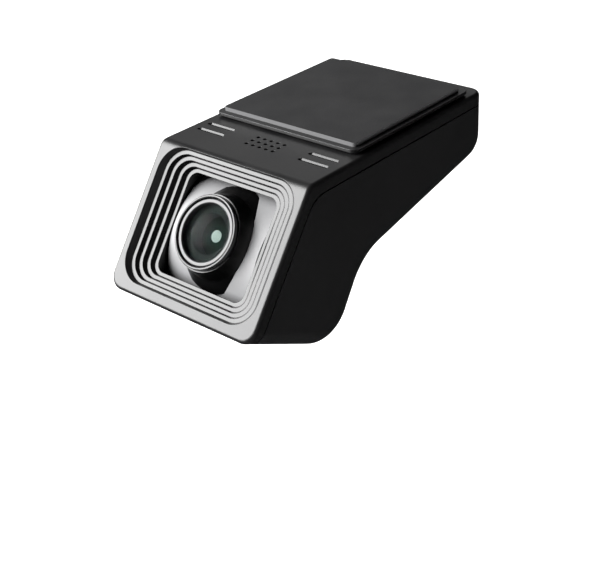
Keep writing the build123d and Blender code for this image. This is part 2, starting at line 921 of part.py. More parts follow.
board_back = face_plane.offset(-sensor_board_depth - board_thick - fit_gap)
export_group(
    "sensor_screws",
    [
        screw_part(
            Plane(
                origin=board_back.from_local_coords((x, y, 0)),
                x_dir=face_plane.x_dir,
                z_dir=face_plane.z_dir,
            ),
            small_screw_radius - fit_gap,
            small_screw_length,
            small_head_radius,
            small_head_height,
        )
        for x, y in sensor_screw_places
    ],
)


def washer_part(side):
    """The wavy friction washer on one pivot pin, drawn flat."""
    with BuildPart() as washer:
        with BuildSketch(pivot_plane(side * (drum_half_width + washer_gap))):
            Circle(pin_hub_radius)
            Circle(pin_radius + pin_clearance, mode=Mode.SUBTRACT)
        extrude(amount=side * washer_thick)
    return washer.part


export_group("friction_washers", [washer_part(side) for side in (-1, 1)])


def bracket_part(side):
    """The plate that holds one of the drum's pins."""
    with BuildPart() as bracket:
        with BuildSketch(pivot_plane(side * bracket_inner)):
            RectangleRounded(2 * bracket_half_length, 2 * bracket_half_height, bracket_half_height - 0.6)
            Circle(pin_radius + pin_clearance, mode=Mode.SUBTRACT)
            with Locations((-bracket_screw_offset, 0), (bracket_screw_offset, 0)):
                Circle(small_screw_radius + screw_clearance, mode=Mode.SUBTRACT)
        extrude(amount=side * (bracket_thick - fit_gap))
    return bracket.part


for side, name in ((-1, "left_pivot_bracket"), (1, "right_pivot_bracket")):
    bracket = bracket_part(side)
    bracket.label = name
    export_step(bracket, f"parts/{name}.step")

export_group(
    "pivot_screws",
    [
        screw_part(
            Plane(
                origin=pivot_plane(side * (bracket_inner - fit_gap)).from_local_coords((along, 0, 0)),
                x_dir=neck_direction,
                z_dir=(side, 0, 0),
            ),
            small_screw_radius - fit_gap,
            small_screw_length + bracket_thick - 0.3,
            small_head_radius,
            bracket_gap,
        )
        for side in (-1, 1)
        for along in (-bracket_screw_offset, bracket_screw_offset)
    ],
)

# ---- main board and what it carries -------------------------------------------------------------


def block(name, x, y, width, length, low, high, corner=0.3):
    """A moulded or soldered block between two heights."""
    with BuildPart() as piece:
        with BuildSketch(Plane.XY.offset(low)):
            with Locations((x, y)):
                RectangleRounded(width, length, corner)
        extrude(amount=high - low)
    piece.part.label = name
    export_step(piece.part, f"parts/{name}.step")


with BuildPart() as main_board:
    with BuildSketch(Plane.XY.offset(main_board_top)):
        with Locations((0, (board_rear + main_board_front) / 2)):
            RectangleRounded(2 * board_half_width, board_rear - main_board_front, 2.2)
        with Locations(*screw_places):
            Circle(screw_radius + screw_clearance, mode=Mode.SUBTRACT)
    extrude(amount=-board_thick)
main_board.part.label = "main_board"
export_step(main_board.part, "parts/main_board.step")

deck = main_board_top + fit_gap
keel = board_under - fit_gap
block("processor", 0, chip_y, chip_size, chip_size, deck, deck + chip_height)
block(
    "thermal_pad",
    0,
    chip_y,
    chip_size - 1,
    chip_size - 1,
    deck + chip_height + fit_gap,
    deck + chip_height + soft_pad_thick,
)
block(
    "heat_spreader",
    0,
    chip_y,
    chip_size + 3,
    chip_size + 5,
    deck + chip_height + soft_pad_thick + fit_gap,
    deck + chip_height + soft_pad_thick + spreader_thick,
    1.0,
)
block("memory_chip", memory_x, memory_y, memory_width, memory_length, deck, deck + memory_height)
block("wireless_can", -memory_x, memory_y, can_width, can_length, deck, deck + can_height, 0.6)
block(
    "cable_connector",
    0,
    main_board_front + connector_inset,
    connector_width,
    connector_length,
    keel - connector_height,
    keel,
)
block(
    "button_switch", switch_x, button_y, switch_length, switch_width, button_z - switch_height, keel
)
block(
    "status_led",
    light_inner + 0.9 * lamp_length,
    light_y,
    lamp_length,
    lamp_width,
    keel - lamp_width,
    keel,
    0.1,
)
block("microphone", mic_x, mic_y, mic_length, mic_width, keel - mic_height, keel, 0.2)

with BuildPart() as power_inductor:
    with BuildSketch(Plane.XY.offset(deck)):
        with Locations((memory_x, chip_y + 2)):
            RectangleRounded(inductor_size, inductor_size, 1.0)
    extrude(amount=inductor_height)
    chamfer(power_inductor.faces().sort_by(Axis.Z)[-1].edges(), length=0.4)
power_inductor.part.label = "power_inductor"
export_step(power_inductor.part, "parts/power_inductor.step")


def capacitor_part(y):
    """A wound can lying across the board's underside."""
    with BuildPart() as can:
        with BuildSketch(Plane.YZ.offset(-capacitor_length / 2)):
            with Locations((y, keel - capacitor_radius)):
                Circle(capacitor_radius)
        extrude(amount=capacitor_length)
        fillet(can.edges().filter_by(GeomType.CIRCLE), radius=0.5)
    return can.part


export_group("backup_capacitors", [capacitor_part(y) for y in capacitor_places])

with BuildPart() as microphone_boot:
    with BuildSketch(Plane.XY.offset(keel - mic_height - fit_gap)):
        with Locations((mic_x, mic_y)):
            Circle(2.0)
            Circle(mic_hole_radius, mode=Mode.SUBTRACT)
    extrude(amount=underside_z(mic_y - 2.5) + wall / cos(radians(underside_slope)) + 1.0 - keel + 1.0)
microphone_boot.part.label = "microphone_boot"
export_step(microphone_boot.part, "parts/microphone_boot.step")

with BuildPart() as usb_socket:
    with BuildSketch(Plane.XZ.offset(-tail_y + inlet_inset)):
        with Locations((0, inlet_z)):
            SlotOverall(inlet_width, inlet_height)
    extrude(amount=inlet_length)
    with BuildSketch(Plane.XZ.offset(-tail_y + inlet_inset)):
        with Locations((0, inlet_z)):
            SlotOverall(inlet_width - 2 * inlet_shell, inlet_height - 2 * inlet_shell)
    extrude(amount=inlet_length - inlet_back, mode=Mode.SUBTRACT)
    # contact tongue
    with BuildSketch(Plane.XZ.offset(-tail_y + inlet_inset + inlet_back)):
        with Locations((0, inlet_z)):
            Rectangle(tongue_width, tongue_thick)
    extrude(amount=inlet_length - 1.5 * inlet_back)
usb_socket.part.label = "usb_socket"
export_step(usb_socket.part, "parts/usb_socket.step")

# card and its socket
card_outer_x = -half_width + card_inset
socket_open_x = -side_inner + socket_gap
socket_inner_x = card_outer_x + card_length + socket_end
with BuildPart() as card_socket:
    with BuildSketch(Plane.YZ.offset(socket_open_x)):
        with Locations((card_y, card_z)):
            Rectangle(
                card_width + 2 * card_clearance + 2 * socket_wall,
                card_thick + 2 * card_clearance + 2 * socket_wall - fit_gap,
            )
    extrude(amount=socket_inner_x - socket_open_x)
    with BuildSketch(Plane.YZ.offset(socket_open_x)):
        with Locations((card_y, card_z)):
            Rectangle(card_width + 2 * card_clearance, card_thick + 2 * card_clearance)
    extrude(amount=socket_inner_x - socket_open_x - web, mode=Mode.SUBTRACT)
card_socket.part.label = "card_socket"
export_step(card_socket.part, "parts/card_socket.step")

with BuildPart() as memory_card:
    with BuildSketch(Plane.XY.offset(card_z - card_thick / 2)):
        with Locations((card_outer_x + card_length / 2, card_y)):
            RectangleRounded(card_length, card_width, card_round)
    extrude(amount=card_thick)
    # finger ridge at the outer end
    with BuildSketch(Plane.XY.offset(card_z + card_thick / 2)):
        with Locations((card_outer_x + card_grip_inset, card_y)):
            Rectangle(card_grip_width, card_width - 3)
    extrude(amount=-card_grip_depth, mode=Mode.SUBTRACT)
memory_card.part.label = "memory_card"
export_step(memory_card.part, "parts/memory_card.step")

with BuildPart() as record_button:
    with BuildSketch(Plane.YZ.offset(-half_width - button_proud)):
        with Locations((button_y, button_z)):
            SlotOverall(button_length, button_height)
    extrude(amount=button_proud + wall + button_clearance)
    with BuildSketch(Plane.YZ.offset(-side_inner + button_clearance)):
        with Locations((button_y, button_z)):
            SlotOverall(button_length + 2 * button_flange, button_height + 2 * button_flange)
    extrude(amount=button_flange_thick + fit_gap)
    with BuildSketch(Plane.YZ.offset(-side_inner + button_clearance + button_flange_thick)):
        with Locations((button_y, button_z)):
            Circle(nub_radius)
    extrude(amount=nub_reach)
    fillet(record_button.faces().sort_by(Axis.X)[0].outer_wire().edges(), radius=button_round)
record_button.part.label = "record_button"
export_step(record_button.part, "parts/record_button.step")

with BuildPart() as light_pipe:
    with BuildSketch(Plane.YZ.offset(-half_width)):
        with Locations((light_y, light_z)):
            Circle(light_radius)
    extrude(amount=half_width + light_inner)
light_pipe.part.label = "light_pipe"
export_step(light_pipe.part, "parts/light_pipe.step")

# ---- speaker, antenna, cable, leaf and long screws ----------------------------------------------

mesh_top = cover_under - fit_gap
with BuildPart() as speaker_mesh:
    with BuildSketch(Plane.XY.offset(mesh_top)):
        with Locations((0, grille_y)):
            RectangleRounded(speaker_width - 2, speaker_length - 1, 0.8)
    extrude(amount=-mesh_thick)
speaker_mesh.part.label = "speaker_mesh"
export_step(speaker_mesh.part, "parts/speaker_mesh.step")

with BuildPart() as speaker:
    with BuildSketch(Plane.XY.offset(mesh_top - mesh_thick - fit_gap)):
        with Locations((0, grille_y)):
            RectangleRounded(speaker_width, speaker_length, 1.5)
    extrude(amount=-speaker_height)
    with BuildSketch(Plane.XY.offset(mesh_top - mesh_thick - fit_gap)):
        with Locations((0, grille_y)):
            RectangleRounded(speaker_width - 2, speaker_length - 2, 1.0)
    extrude(amount=-0.5, mode=Mode.SUBTRACT)
speaker.part.label = "speaker"
export_step(speaker.part, "parts/speaker.step")

with BuildPart() as wifi_antenna:
    with BuildSketch(Plane.XY.offset(cover_under - fit_gap)):
        with Locations((0, antenna_y)):
            Rectangle(antenna_length, antenna_width)
    extrude(amount=-antenna_thick)
wifi_antenna.part.label = "wifi_antenna"
export_step(wifi_antenna.part, "parts/wifi_antenna.step")

with BuildPart() as detent_leaf:
    with BuildSketch(Plane.XY.offset(cover_under - fit_gap)):
        with Locations((detent_x, detent_y)):
            RectangleRounded(detent_width + 6, detent_window - 1, 0.8)
    extrude(amount=-leaf_thick)
    with Locations((detent_x, detent_y, cover_under - fit_gap)):
        Sphere(radius=detent_nose, arc_size1=0)
detent_leaf.part.label = "detent_leaf"
export_step(detent_leaf.part, "parts/detent_leaf.step")

cable_end = face_point(connector_v, sensor_board_depth + board_thick + connector_height + 1.2)
with BuildPart() as flex_cable:
    with BuildSketch(Plane.YZ.offset(-cable_width / 2)):
        with BuildLine():
            FilletPolyline(
                (main_board_front + 1.0, keel - cable_drop),
                (cable_bend_y, keel - cable_drop),
                (cable_end[0] + 1.0, cable_end[1] + cable_rise),
                cable_end,
                radius=cable_bend_radius,
            )
            offset(amount=cable_thick / 2)
        make_face()
    extrude(amount=cable_width)
flex_cable.part.label = "flex_cable"
export_step(flex_cable.part, "parts/flex_cable.step")

export_group(
    "housing_screws",
    [
        screw_part(
            Plane(origin=(x, y, head_seat(y) - fit_gap), x_dir=(1, 0, 0), z_dir=(0, 0, 1)),
            screw_radius - fit_gap,
            main_board_top + screw_grip - head_seat(y),
            screw_head_radius,
            screw_head_height,
        )
        for x, y in screw_places
    ],
)
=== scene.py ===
# A windscreen dash camera hanging from its stuck-on plate: finishes, small parts, lights and camera.
import math

import bmesh
import bpy
from mathutils import Matrix, Vector


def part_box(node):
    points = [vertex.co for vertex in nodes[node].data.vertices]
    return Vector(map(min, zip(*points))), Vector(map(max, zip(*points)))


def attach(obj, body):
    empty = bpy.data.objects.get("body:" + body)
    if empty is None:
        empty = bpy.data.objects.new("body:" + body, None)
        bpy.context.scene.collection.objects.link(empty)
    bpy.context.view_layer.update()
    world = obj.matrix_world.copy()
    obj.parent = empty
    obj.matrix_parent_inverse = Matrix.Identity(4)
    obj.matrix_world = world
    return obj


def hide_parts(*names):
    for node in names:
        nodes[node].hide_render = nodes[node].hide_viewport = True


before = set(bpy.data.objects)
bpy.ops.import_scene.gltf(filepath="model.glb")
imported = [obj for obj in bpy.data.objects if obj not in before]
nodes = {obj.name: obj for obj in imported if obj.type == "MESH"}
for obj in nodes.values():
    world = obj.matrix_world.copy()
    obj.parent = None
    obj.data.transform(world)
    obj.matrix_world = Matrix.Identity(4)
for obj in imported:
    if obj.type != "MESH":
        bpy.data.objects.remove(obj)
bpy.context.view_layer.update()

mm = 0.001
print("frame loaded:", len(nodes), "pieces")


# camera, floor and lights

view = {
    "place": (0.1407, -0.1666, 0.0841),
    "turn": (60.17, 3.19, 40.68),  # degrees
    "lens": 67.5,
    "shift": (-0.0171, -0.0188),
    "nearest": 0.01,
}

cameraData = bpy.data.cameras.new("studioCamera")
cameraData.lens = view["lens"]
cameraData.shift_x, cameraData.shift_y = view["shift"]
cameraData.clip_start = view["nearest"]
studioCamera = bpy.data.objects.new("studioCamera", cameraData)
studioCamera.location = view["place"]
studioCamera.rotation_euler = [math.radians(a) for a in view["turn"]]
bpy.context.scene.collection.objects.link(studioCamera)
bpy.context.scene.camera = studioCamera

studio = {
    "aim": (0.0, -0.022, -0.016),
    "floorLevel": -0.17,
    "floorSize": 6.0, "floorGrey": 0.9, "floorRough": 0.9,
    "keyFrom": (-0.66, -0.60, 0.44), "keyFar": 0.62, "keySize": (0.62, 0.52), "keyPower": 15.0,
    "backFrom": (-0.586, 0.70, 0.50), "backFar": 0.9, "backSize": (0.5, 0.3), "backPower": 0.3,
    "floorLampHeight": 1.6, "floorLampSize": 2.4, "floorLampPower": 60.0,
    "worldGrey": 0.015, "backdrop": 0.97,
}


def aimed(place, target):
    return (Vector(place) - Vector(target)).to_track_quat("Z", "Y").to_euler()


def areaLamp(name, place, size, power):
    data = bpy.data.lights.new(name, "AREA")
    data.shape = "RECTANGLE"
    data.size, data.size_y = size
    data.energy = power
    lamp = bpy.data.objects.new(name, data)
    lamp.location = place
    lamp.rotation_euler = aimed(place, studio["aim"])
    bpy.context.scene.collection.objects.link(lamp)
    return lamp


def stagePlane(name, size):
    w, h = size[0] / 2, size[1] / 2
    mesh = bpy.data.meshes.new(name)
    mesh.from_pydata([(-w, -h, 0), (w, -h, 0), (w, h, 0), (-w, h, 0)], [], [(0, 1, 2, 3)])
    plane = bpy.data.objects.new(name, mesh)
    bpy.context.scene.collection.objects.link(plane)
    return plane


def lampPlace(direction, far):
    return Vector(studio["aim"]) + Vector(direction).normalized() * far


floor = stagePlane("floor", (studio["floorSize"], studio["floorSize"]))
floor.location.z = studio["floorLevel"]
floorPaint = bpy.data.materials.new("paleFloor")
floorPaint.use_nodes = True
floorShader = floorPaint.node_tree.nodes["Principled BSDF"]
floorShader.inputs["Base Color"].default_value = (*[studio["floorGrey"]] * 3, 1)
floorShader.inputs["Roughness"].default_value = studio["floorRough"]
floor.data.materials.append(floorPaint)
floor.visible_glossy = False  # the case mirrors the dark studio, not the floor

areaLamp("softbox", lampPlace(studio["keyFrom"], studio["keyFar"]), studio["keySize"], studio["keyPower"])
areaLamp(
    "rearLamp", lampPlace(studio["backFrom"], studio["backFar"]),
    studio["backSize"], studio["backPower"])

floorLamp = areaLamp(
    "floorLamp", (0, 0, studio["floorLampHeight"]),
    (studio["floorLampSize"], studio["floorLampSize"]), studio["floorLampPower"])
floorOnly = bpy.data.collections.new("floorOnly")
floorOnly.objects.link(floor)
floorLamp.light_linking.receiver_collection = floorOnly

bpy.context.scene.view_settings.view_transform = "Standard"
print("camera, floor and lamps placed")


# shared effects

def shaderGroup(name, inputs, outputs):
    tree = bpy.data.node_groups.new(name, "ShaderNodeTree")
    for label, kind, value in inputs:
        socket = tree.interface.new_socket(name=label, in_out="INPUT", socket_type="NodeSocket" + kind)
        socket.default_value = value
    for label, kind in outputs:
        tree.interface.new_socket(name=label, in_out="OUTPUT", socket_type="NodeSocket" + kind)
    return tree, tree.nodes.new("NodeGroupInput"), tree.nodes.new("NodeGroupOutput")


def addNode(tree, kind, links=(), **settings):
    node = tree.nodes.new(kind)
    for key, value in settings.items():
        setattr(node, key, value)
    for socket, value in dict(links).items():
        if isinstance(value, bpy.types.NodeSocket):
            tree.links.new(value, node.inputs[socket])
        else:
            node.inputs[socket].default_value = value
    return node


def mathNode(tree, operation, a, b=0.0, c=0.0):
    return addNode(tree, "ShaderNodeMath", {0: a, 1: b, 2: c}, operation=operation).outputs[0]


def rangeNode(tree, value, low, high, toLow=0.0, toHigh=1.0):
    return addNode(tree, "ShaderNodeMapRange", {
        "Value": value, "From Min": low, "From Max": high, "To Min": toLow, "To Max": toHigh}).outputs[0]


# the backdrop is pale to the eye, while the case mirrors a dim room
world = bpy.data.worlds.new("studio")
world.use_nodes = True
backdrop = world.node_tree.nodes["Background"]
backdrop.inputs["Color"].default_value = (1, 1, 1, 1)
seen = addNode(world.node_tree, "ShaderNodeLightPath").outputs["Is Camera Ray"]
world.node_tree.links.new(
    mathNode(world.node_tree, "MULTIPLY_ADD", seen, studio["backdrop"], studio["worldGrey"]),
    backdrop.inputs["Strength"])
bpy.context.scene.world = world


# how fine each pattern is, in repeats to the metre
patternScale = {"tone": 60.0, "patches": 900.0, "dustCloud": 120.0, "dustSpecks": 5200.0}


def noiseNode(tree, place, scale, detail):
    return addNode(tree, "ShaderNodeTexNoise", {
        "Vector": place, "Scale": scale, "Detail": detail}).outputs["Fac"]


def makeMouldGrain():
    # the fine spark-eroded texture of a moulded case: pits of two sizes
    tree, given, result = shaderGroup("mouldGrain", [
        ("Vector", "Vector", (0, 0, 0)), ("Grain Size", "Float", 0.16 * mm)],
        [("Height", "Float"), ("Tone", "Float")])
    scale = mathNode(tree, "DIVIDE", 1.0, given.outputs["Grain Size"])
    pits = addNode(tree, "ShaderNodeTexVoronoi", {"Vector": given.outputs["Vector"], "Scale": scale},
                   feature="SMOOTH_F1")
    soft = noiseNode(tree, given.outputs["Vector"], mathNode(tree, "MULTIPLY", scale, 0.45), 3.0)
    height = mathNode(tree, "MULTIPLY_ADD", pits.outputs["Distance"], 0.65,
                      mathNode(tree, "MULTIPLY", soft, 0.5))
    tone = noiseNode(tree, given.outputs["Vector"], patternScale["tone"], 4.0)
    tree.links.new(height, result.inputs["Height"])
    tree.links.new(tone, result.inputs["Tone"])
    return tree


def makeEdgeWear():
    # softened arrises, and where handling has polished them
    tree, given, result = shaderGroup("edgeWear", [
        ("Vector", "Vector", (0, 0, 0)), ("Edge Radius", "Float", 0.15 * mm), ("Wear", "Float", 0.5)],
        [("Mask", "Float"), ("Normal", "Vector")])
    softened = addNode(tree, "ShaderNodeBevel", {"Radius": given.outputs["Edge Radius"]}, samples=6)
    flat = addNode(tree, "ShaderNodeNewGeometry")
    turned = addNode(tree, "ShaderNodeVectorMath", {
        0: softened.outputs["Normal"], 1: flat.outputs["Normal"]}, operation="DOT_PRODUCT")
    edge = rangeNode(tree, turned.outputs["Value"], 0.995, 0.9)
    patchy = noiseNode(tree, given.outputs["Vector"], patternScale["patches"], 3.0)
    broken = rangeNode(tree, patchy, 0.35, 0.65)
    mask = mathNode(tree, "MULTIPLY", mathNode(tree, "MULTIPLY", edge, broken), given.outputs["Wear"])
    tree.links.new(mask, result.inputs["Mask"])
    tree.links.new(softened.outputs["Normal"], result.inputs["Normal"])
    return tree


def makeDust():
    # fine dust that settles on upward faces
    tree, given, result = shaderGroup("dust", [
        ("Vector", "Vector", (0, 0, 0)), ("Amount", "Float", 0.3)], [("Mask", "Float")])
    facing = addNode(tree, "ShaderNodeSeparateXYZ", {
        0: addNode(tree, "ShaderNodeNewGeometry").outputs["Normal"]})
    up = rangeNode(tree, facing.outputs["Z"], 0.2, 0.95)
    cloud = noiseNode(tree, given.outputs["Vector"], patternScale["dustCloud"], 5.0)
    specks = noiseNode(tree, given.outputs["Vector"], patternScale["dustSpecks"], 1.0)
    lying = mathNode(tree, "MULTIPLY", rangeNode(tree, cloud, 0.35, 0.75),
                     rangeNode(tree, specks, 0.5, 0.7, 0.35, 1.0))
    mask = mathNode(tree, "MULTIPLY", mathNode(tree, "MULTIPLY", up, lying), given.outputs["Amount"])
    tree.links.new(mask, result.inputs["Mask"])
    return tree


mouldGrain = makeMouldGrain()
edgeWear = makeEdgeWear()
dust = makeDust()
print("shared effects built")


# finishes

lensAxis = {"middle": (0, -41.45 * mm, -13.4 * mm), "turn": math.radians(53)}


def lensRadius(tree, place):
    # how far a point is from the lens axis
    turned = addNode(tree, "ShaderNodeMapping", {
        "Vector": place, "Location": lensAxis["middle"], "Rotation": (lensAxis["turn"], 0, 0)},
        vector_type="TEXTURE")
    across = addNode(tree, "ShaderNodeVectorMath", {
        0: turned.outputs["Vector"], 1: (1, 1, 0)}, operation="MULTIPLY").outputs["Vector"]
    return addNode(tree, "ShaderNodeVectorMath", {0: across}, operation="LENGTH").outputs["Value"]


def blankFinish(name):
    material = bpy.data.materials.new(name)
    material.use_nodes = True
    tree = material.node_tree
    shader = tree.nodes["Principled BSDF"]
    place = addNode(tree, "ShaderNodeTexCoord").outputs["Object"]
    return material, tree, shader, place


def effect(tree, group, values):
    node = tree.nodes.new("ShaderNodeGroup")
    node.node_tree = group
    for label, value in values.items():
        if isinstance(value, bpy.types.NodeSocket):
            tree.links.new(value, node.inputs[label])
        else:
            node.inputs[label].default_value = value
    return node


def mixColour(tree, mask, first, second):
    node = addNode(tree, "ShaderNodeMix", data_type="RGBA")
    for index, value in ((0, mask), (6, first), (7, second)):
        if isinstance(value, bpy.types.NodeSocket):
            tree.links.new(value, node.inputs[index])
        else:
            node.inputs[index].default_value = value if index == 0 else (*value, 1)
    return node.outputs[2]


def mouldedFinish(name, look):
    # moulded or cast surface: grain, softened edges, a little wear and dust
    material, tree, shader, place = blankFinish(name)
    grain = effect(tree, mouldGrain, {"Vector": place, "Grain Size": look.get("grain", 0.16) * mm})
    wear = effect(tree, edgeWear, {
        "Vector": place, "Edge Radius": look.get("edge", 0.12) * mm, "Wear": look.get("wear", 0.4)})
    lying = effect(tree, dust, {"Vector": place, "Amount": look.get("dust", 0.12)})
    colour = Vector(look["colour"])
    toned = mixColour(tree, grain.outputs["Tone"], tuple(colour * 0.82), tuple(colour * 1.18))
    if "side" in look:
        # the cut edges of a sheet are paler than its skins
        facing = addNode(tree, "ShaderNodeSeparateXYZ", {
            0: addNode(tree, "ShaderNodeTexCoord").outputs["Normal"]})
        edgeOn = rangeNode(tree, mathNode(tree, "ABSOLUTE", facing.outputs["Z"]), 0.7, 0.3)
        toned = mixColour(tree, edgeOn, toned, look["side"])
    worn = mixColour(tree, wear.outputs["Mask"], toned, tuple(look.get("worn", colour * 1.8)))
    dusty = mixColour(tree, lying.outputs["Mask"], worn, (0.16, 0.155, 0.15))
    tree.links.new(dusty, shader.inputs["Base Color"])
    rough = look["rough"]
    base = rangeNode(tree, grain.outputs["Tone"], 0.3, 0.7, rough - 0.03, rough + 0.03)
    polished = mathNode(tree, "MULTIPLY_ADD", wear.outputs["Mask"], -0.12, base)
    dulled = mathNode(tree, "MULTIPLY_ADD", lying.outputs["Mask"], 0.35, polished)
    tree.links.new(dulled, shader.inputs["Roughness"])
    shader.inputs["Metallic"].default_value = look.get("metal", 0.0)
    shader.inputs["Specular IOR Level"].default_value = look.get("shine", 0.5)
    bump = addNode(tree, "ShaderNodeBump", {
        "Strength": look.get("depth", 0.25), "Distance": 0.03 * mm,
        "Height": grain.outputs["Height"], "Normal": wear.outputs["Normal"]})
    tree.links.new(bump.outputs["Normal"], shader.inputs["Normal"])
    if "stop" in look:
        # blackened inside this radius, so that only the rim catches light
        rim = rangeNode(
            tree, lensRadius(tree, place), (look["stop"] - 0.05) * mm, (look["stop"] + 0.05) * mm)
        tree.links.new(rim, shader.inputs["Coat Weight"])
        shader.inputs["Coat Roughness"].default_value = rough
        shader.inputs["Specular IOR Level"].default_value = 0.0
    return material


def glassFinish(name, colour, rough=0.01, ior=1.52):
    material, tree, shader, place = blankFinish(name)
    film = effect(tree, dust, {"Vector": place, "Amount": 0.015})
    tree.links.new(mathNode(tree, "ADD", film.outputs["Mask"], rough), shader.inputs["Roughness"])
    tinted = mixColour(tree, film.outputs["Mask"], colour, (0.6, 0.6, 0.6))
    tree.links.new(tinted, shader.inputs["Base Color"])
    shader.inputs["Transmission Weight"].default_value = 1.0
    shader.inputs["IOR"].default_value = ior
    return material


def coatedLensFinish(name):
    # dark inner element with a painted highlight: a greenish centre colour, and a coat that shines only in a
    # small disc round the lens axis, set by radius
    material, tree, shader, place = blankFinish(name)
    look = {"paintedGlintTint": (0.004, 0.012, 0.009), "rim": (0.0006, 0.0006, 0.0008), "paintedGlintTintRadius": 0.5,
            "rimRadius": 4.5, "paintedGlintRadius": 1.0, "paintedGlintFade": 0.3, "paintedGlintRough": 0.06}
    radius = lensRadius(tree, place)
    rim = rangeNode(tree, radius, look["paintedGlintTintRadius"] * mm, look["rimRadius"] * mm)
    # painted highlight: coat weight only inside a small disc round the lens axis
    paintedGlint = rangeNode(tree, radius, (look["paintedGlintRadius"] + look["paintedGlintFade"]) * mm, look["paintedGlintRadius"] * mm)
    # painted highlight: greenish colour in the middle, fading to near black towards the rim
    tree.links.new(mixColour(tree, rim, look["paintedGlintTint"], look["rim"]), shader.inputs["Base Color"])
    tree.links.new(rangeNode(tree, rim, 0, 1, 0.05, 0.12), shader.inputs["Roughness"])
    tree.links.new(paintedGlint, shader.inputs["Coat Weight"])
    shader.inputs["Coat Roughness"].default_value = look["paintedGlintRough"]
    shader.inputs["Specular IOR Level"].default_value = 0.0
    return material


looks = {
    "casing": {"colour": (0.013, 0.013, 0.0138), "rough": 0.46, "grain": 0.2, "depth": 0.3, "shine": 0.35},
    "cover": {"colour": (0.010, 0.010, 0.0105), "rough": 0.34, "grain": 0.16, "depth": 0.16},
    "surround": {"colour": (0.0025, 0.0025, 0.0027), "rough": 0.26, "grain": 0.14, "depth": 0.1,
                 "edge": 0.08},
    "drum": {"colour": (0.002, 0.002, 0.0022), "rough": 0.3, "grain": 0.14, "depth": 0.14, "edge": 0.08},
    "trim": {"colour": (0.27, 0.27, 0.275), "rough": 0.5, "grain": 0.2, "depth": 0.25, "edge": 0.06},
    "bracket": {"colour": (0.009, 0.009, 0.0095), "rough": 0.3, "grain": 0.16, "depth": 0.14, "edge": 0.16},
    "foam": {"colour": (0.022, 0.022, 0.023), "rough": 0.75, "grain": 0.24, "depth": 0.8, "edge": 0.1,
             "wear": 0.8, "worn": (0.12, 0.12, 0.12), "shine": 0.3, "side": (0.14, 0.14, 0.143)},
    "ring": {"colour": (0.02, 0.02, 0.021), "rough": 0.24, "grain": 0.1, "depth": 0.06, "edge": 0.1,
             "shine": 0.48},
    "barrel": {"colour": (0.02, 0.02, 0.021), "rough": 0.28, "grain": 0.1, "depth": 0.08, "edge": 0.1,
               "stop": 5.68, "dust": 0.0},
    "holder": {"colour": (0.01, 0.01, 0.01), "rough": 0.6},
    "blackened": {"colour": (0.001, 0.001, 0.001), "rough": 0.9, "shine": 0.02, "wear": 0.0, "dust": 0.0},
    "chip": {"colour": (0.018, 0.018, 0.02), "rough": 0.5, "grain": 0.1},
    "board": {"colour": (0.01, 0.10, 0.04), "rough": 0.3, "grain": 0.3, "depth": 0.1},
    "connector": {"colour": (0.65, 0.62, 0.54), "rough": 0.45},
    "darkScrew": {"colour": (0.10, 0.10, 0.105), "rough": 0.32, "metal": 1.0, "grain": 0.08},
    "brightSteel": {"colour": (0.55, 0.55, 0.56), "rough": 0.26, "metal": 1.0, "grain": 0.08},
    "tin": {"colour": (0.6, 0.6, 0.58), "rough": 0.34, "metal": 1.0, "grain": 0.1},
    "aluminium": {"colour": (0.62, 0.63, 0.64), "rough": 0.36, "metal": 1.0, "grain": 0.1},
    "padGrey": {"colour": (0.3, 0.34, 0.4), "rough": 0.7, "grain": 0.3},
    "rubber": {"colour": (0.015, 0.015, 0.015), "rough": 0.7, "grain": 0.2},
    "sleeve": {"colour": (0.02, 0.02, 0.03), "rough": 0.25, "grain": 0.3, "depth": 0.05},
    "flex": {"colour": (0.42, 0.2, 0.03), "rough": 0.3, "grain": 0.3, "depth": 0.05},
    "speaker": {"colour": (0.015, 0.015, 0.015), "rough": 0.5},
    "weave": {"colour": (0.006, 0.006, 0.006), "rough": 0.8},
    "card": {"colour": (0.012, 0.012, 0.013), "rough": 0.42, "grain": 0.1},
    "button": {"colour": (0.010, 0.010, 0.011), "rough": 0.38, "grain": 0.14},
    "goldContact": {"colour": (0.75, 0.52, 0.2), "rough": 0.25, "metal": 1.0, "grain": 0.08, "depth": 0.05},
    "sensor": {"colour": (0.05, 0.03, 0.06), "rough": 0.12, "grain": 0.2, "depth": 0.02},
}

finishes = {name: mouldedFinish(name + "Finish", look) for name, look in looks.items()}
finishes["lensGlass"] = glassFinish("lensGlass", (0.78, 0.88, 0.84), ior=1.08)
finishes["coatedLens"] = coatedLensFinish("coatedLens")
finishes["filterGlass"] = glassFinish("filterGlass", (0.3, 0.7, 0.75))
finishes["clearAcrylic"] = glassFinish("clearAcrylic", (0.85, 0.9, 0.95), 0.2, 1.49)

